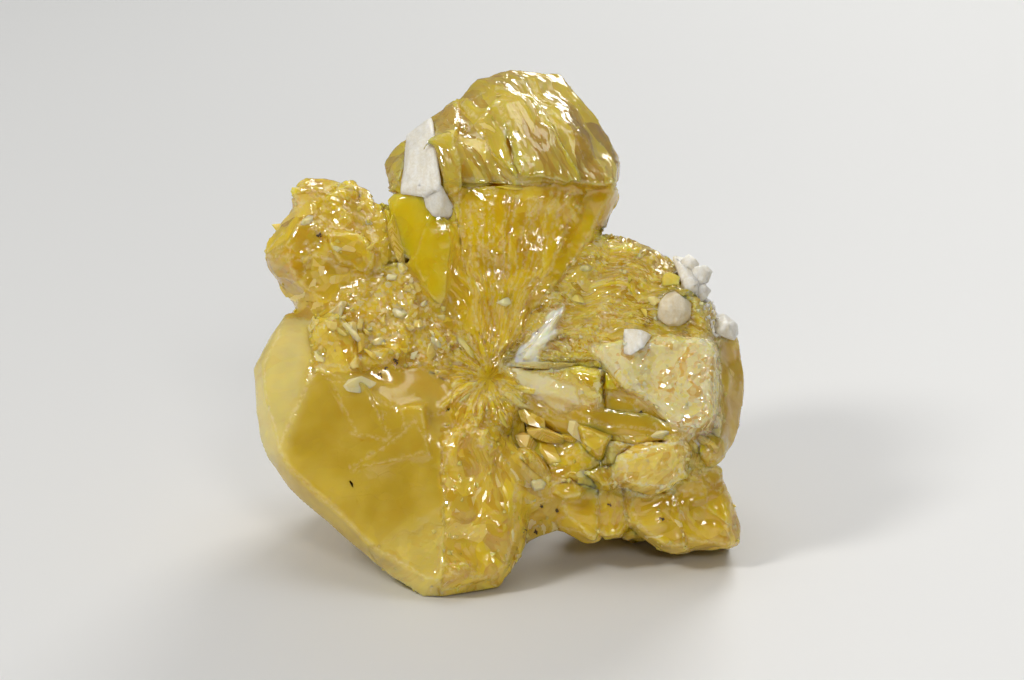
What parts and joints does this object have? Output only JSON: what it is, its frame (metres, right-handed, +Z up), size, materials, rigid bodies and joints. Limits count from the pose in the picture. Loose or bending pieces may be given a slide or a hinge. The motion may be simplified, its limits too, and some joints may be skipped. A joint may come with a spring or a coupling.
{
  "type": "sphalerite crystal cluster",
  "caption": "Natural cluster of yellow gemmy crystals radiating from one point, with a little white crust, standing upright on its broken lower edge for display.",
  "frame": {"origin": "on the floor, under the middle of the box round the specimen", "axes": "+Z up, +X to the right across the broken face, and the face looks along -Y and a little up"},
  "size_m": [0.05, 0.0378, 0.0478],
  "materials": {
    "sphalerite": "clear to milky honey yellow, with a bright resinous lustre",
    "calcite": "opaque white, finely granular, satin"
  },
  "bodies": {
    "root": {"sphalerite_cluster": "sphalerite", "white_band": "calcite", "calcite_crust_upper": "calcite", "calcite_crust_side": "calcite", "calcite_grain": "calcite", "calcite_patch": "calcite"}
  },
  "joints": []
}
